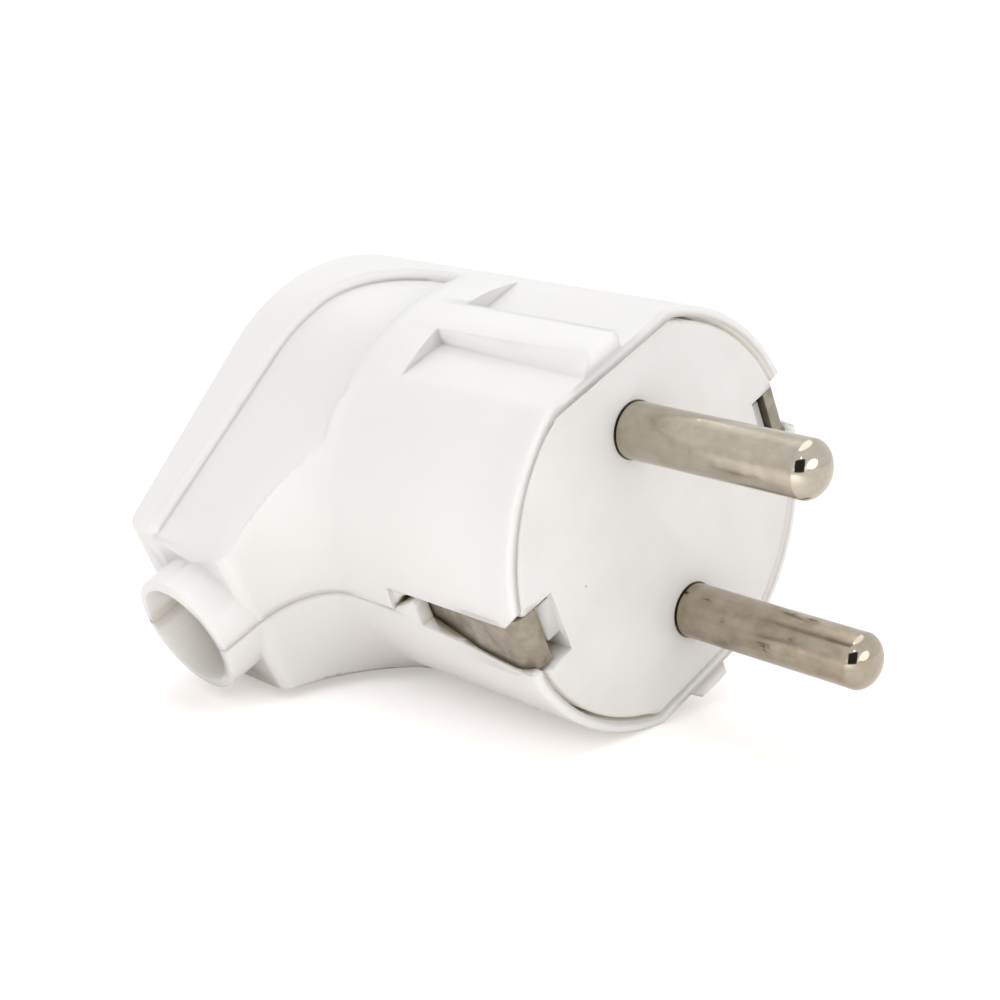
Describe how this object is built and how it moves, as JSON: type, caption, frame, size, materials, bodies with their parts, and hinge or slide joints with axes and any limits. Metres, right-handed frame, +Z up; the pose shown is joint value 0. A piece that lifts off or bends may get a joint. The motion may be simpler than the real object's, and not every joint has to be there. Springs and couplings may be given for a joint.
{
  "type": "type f plug",
  "caption": "Right-angle rewireable mains plug: two-part white housing with a side cable neck, round nickel pins on a contact disc and spring earth clips at the sides.",
  "frame": {"origin": "centre of the contact face, midway between the pins", "axes": "+X out of the face along the pins, +Z up with the plug lying as it rests on head and tail"},
  "size_m": [0.06, 0.0465, 0.0364],
  "materials": {
    "housing_plastic": "glossy",
    "carrier_plastic": "satin",
    "nickel_pin": "polished",
    "nickel_strip": "satin",
    "zinc_steel": "satin",
    "brass": "satin"
  },
  "bodies": {
    "root": {"upper_shell": "housing_plastic", "lower_shell": "housing_plastic", "contact_carrier": "carrier_plastic", "upper_pin": "nickel_pin", "lower_pin": "nickel_pin", "pin_terminal_screws": "zinc_steel", "earth_strap": "nickel_strip", "earth_nut": "brass", "earth_washer": "zinc_steel", "earth_screw": "zinc_steel", "cord_clamp": "carrier_plastic", "cord_clamp_screws": "zinc_steel", "housing_screw": "zinc_steel", "housing_insert": "brass"}
  },
  "joints": []
}
